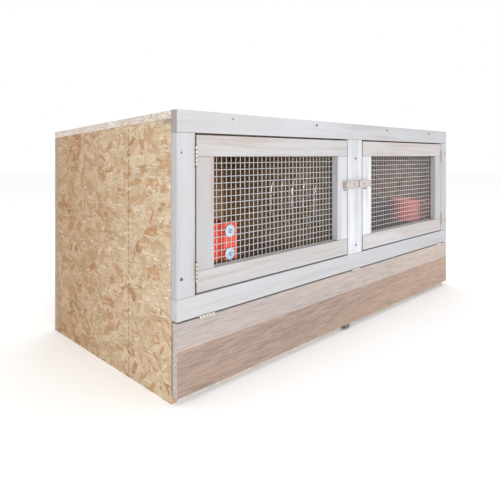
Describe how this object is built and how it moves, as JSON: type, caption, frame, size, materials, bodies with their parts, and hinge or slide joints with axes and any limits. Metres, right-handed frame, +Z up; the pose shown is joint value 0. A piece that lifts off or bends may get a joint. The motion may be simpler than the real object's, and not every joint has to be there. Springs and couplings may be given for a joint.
{
  "type": "rabbit hutch",
  "caption": "Double rabbit hutch of strand board with a framed front, wire doors, turn buttons and a droppings flap",
  "frame": {"origin": "on the floor, under the middle of the base panel", "axes": "+X to the right along the width seen from the front, +Y from the doors to the back panel, +Z up"},
  "size_m": [1.35, 0.6681, 0.64],
  "materials": {
    "white_timber": "planed softwood with a thin whitewash",
    "door_timber": "planed softwood, thin pale wash over a pinkish grain",
    "button_timber": "planed pale wood, clear",
    "raw_timber": "sawn softwood, untreated",
    "strand_board": "oriented strand board, untreated",
    "chipboard": "chipboard with pale melamine faces and raw speckled edges",
    "laminate": "chipboard with a wood-print laminate in two bands",
    "zinc_wire": "welded wire, galvanised, spangled grey",
    "zinc_washer": "zinc plated, bluish bright",
    "hinge_steel": "brass-plated steel, slightly worn",
    "screw_steel": "zinc plated, dull",
    "red_plastic": "moulded orange-red plastic, semi-gloss",
    "catch_plastic": "moulded grey-brown plastic"
  },
  "bodies": {
    "carcass": {"back_panel": "chipboard", "base_panel": "chipboard", "bottom_rail": "white_timber", "door_stop": "raw_timber", "feeder_right": "red_plastic", "feeder_right_bolt_lower": "zinc_washer", "feeder_right_bolt_upper": "zinc_washer", "flap_catch": "catch_plastic", "flap_hinge_left_fixed_leaf": "hinge_steel", "flap_hinge_middle_fixed_leaf": "hinge_steel", "flap_hinge_right_fixed_leaf": "hinge_steel", "floor_bearer_front": "raw_timber", "floor_bearer_left": "raw_timber", "floor_bearer_middle": "raw_timber", "floor_bearer_rear": "raw_timber", "floor_bearer_right": "raw_timber", "floor_mesh_left": "zinc_wire", "floor_mesh_right": "zinc_wire", "hay_rack": "zinc_wire", "left_door_hinge_lower_fixed_leaf": "hinge_steel", "left_door_hinge_upper_fixed_leaf": "hinge_steel", "left_turn_button_screw": "screw_steel", "partition": "strand_board", "post_left": "white_timber", "post_middle": "white_timber", "post_right": "white_timber", "right_door_hinge_lower_fixed_leaf": "hinge_steel", "right_door_hinge_upper_fixed_leaf": "hinge_steel", "right_turn_button_screw": "screw_steel", "roof_batten_front": "raw_timber", "roof_batten_rear": "raw_timber", "roof_panel": "chipboard", "side_panel_left": "strand_board", "side_panel_right": "strand_board", "top_rail": "white_timber"},
    "left_door": {"feeder_left": "red_plastic", "feeder_left_bolt_lower": "zinc_washer", "feeder_left_bolt_upper": "zinc_washer", "left_door_bottom_rail": "door_timber", "left_door_hinge_lower_moving_leaf": "hinge_steel", "left_door_hinge_upper_moving_leaf": "hinge_steel", "left_door_inner_stile": "door_timber", "left_door_mesh": "zinc_wire", "left_door_outer_stile": "door_timber", "left_door_top_rail": "door_timber"},
    "right_door": {"right_door_bottom_rail": "door_timber", "right_door_hinge_lower_moving_leaf": "hinge_steel", "right_door_hinge_upper_moving_leaf": "hinge_steel", "right_door_inner_stile": "door_timber", "right_door_mesh": "zinc_wire", "right_door_outer_stile": "door_timber", "right_door_top_rail": "door_timber"},
    "flap": {"flap": "laminate", "flap_hinge_left_moving_leaf": "hinge_steel", "flap_hinge_middle_moving_leaf": "hinge_steel", "flap_hinge_right_moving_leaf": "hinge_steel"},
    "left_turn_button": {"left_turn_button": "button_timber"},
    "right_turn_button": {"right_turn_button": "button_timber"}
  },
  "joints": [
    {"name": "left_door_swing", "type": "hinge", "parent": "carcass", "child": "left_door", "pos_m": [-0.62475, -0.3281, 0.4105], "axis": [0, 0, -1], "range_deg": [0, 180]},
    {"name": "right_door_swing", "type": "hinge", "parent": "carcass", "child": "right_door", "pos_m": [0.62475, -0.3281, 0.4105], "axis": [0, 0, 1], "range_deg": [0, 180]},
    {"name": "flap_swing", "type": "hinge", "parent": "carcass", "child": "flap", "pos_m": [0, -0.3281, 0.18], "axis": [-1, 0, 0], "range_deg": [0, 100]},
    {"name": "left_button_turn", "type": "hinge", "parent": "carcass", "child": "left_turn_button", "pos_m": [-0.027, -0.325, 0.451], "axis": [0, 1, 0], "range_deg": [0, 90]},
    {"name": "right_button_turn", "type": "hinge", "parent": "carcass", "child": "right_turn_button", "pos_m": [0.027, -0.325, 0.451], "axis": [0, -1, 0], "range_deg": [0, 90]}
  ]
}
